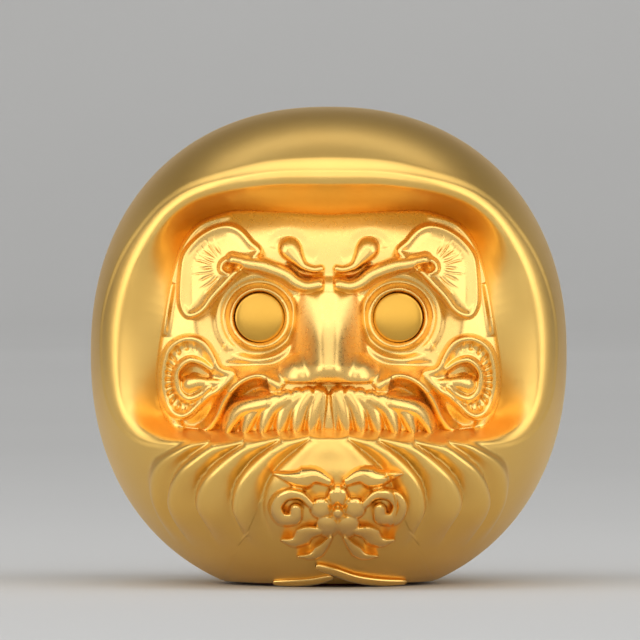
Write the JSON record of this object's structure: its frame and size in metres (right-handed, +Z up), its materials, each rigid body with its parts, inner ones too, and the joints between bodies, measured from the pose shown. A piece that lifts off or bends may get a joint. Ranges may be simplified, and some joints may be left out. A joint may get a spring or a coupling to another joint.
{
  "type": "daruma doll",
  "caption": "Round hollow ornament with a hooded face set in a niche, applied brows, scrolls and moustache, a pleated robe and a weighted flat foot.",
  "frame": {"origin": "the centre of the foot, on the surface that the doll stands on", "axes": "+Z is up through the crown, the face looks along -Y, and +X is to a viewer's right"},
  "size_m": [0.06, 0.0583, 0.0601],
  "materials": {
    "satin_gold": "satin gold plate on cast brass",
    "polished_gold": "burnished gold plate on brass",
    "raw_brass": "turned and lacquered brass",
    "zinc_steel": "bright zinc plate on steel",
    "cast_iron": "as cast, waxed against rust",
    "felt": "pressed wool felt, glued on"
  },
  "bodies": {
    "root": {"front_shell": "satin_gold", "back_shell": "satin_gold", "face_plate": "satin_gold", "left_eye": "polished_gold", "right_eye": "polished_gold", "left_eye_retainer": "raw_brass", "right_eye_retainer": "raw_brass", "left_brow": "satin_gold", "right_brow": "satin_gold", "left_cheek_scroll": "satin_gold", "right_cheek_scroll": "satin_gold", "moustache": "satin_gold", "belly_emblem": "polished_gold", "left_hem_band": "satin_gold", "right_hem_band": "satin_gold", "face_screws": "zinc_steel", "seam_dowels": "zinc_steel", "ballast_weight": "cast_iron", "ballast_bolt": "zinc_steel", "ballast_washer": "zinc_steel", "ballast_nut": "zinc_steel", "base_plate": "raw_brass", "base_screws": "zinc_steel", "base_felt": "felt"}
  },
  "joints": []
}
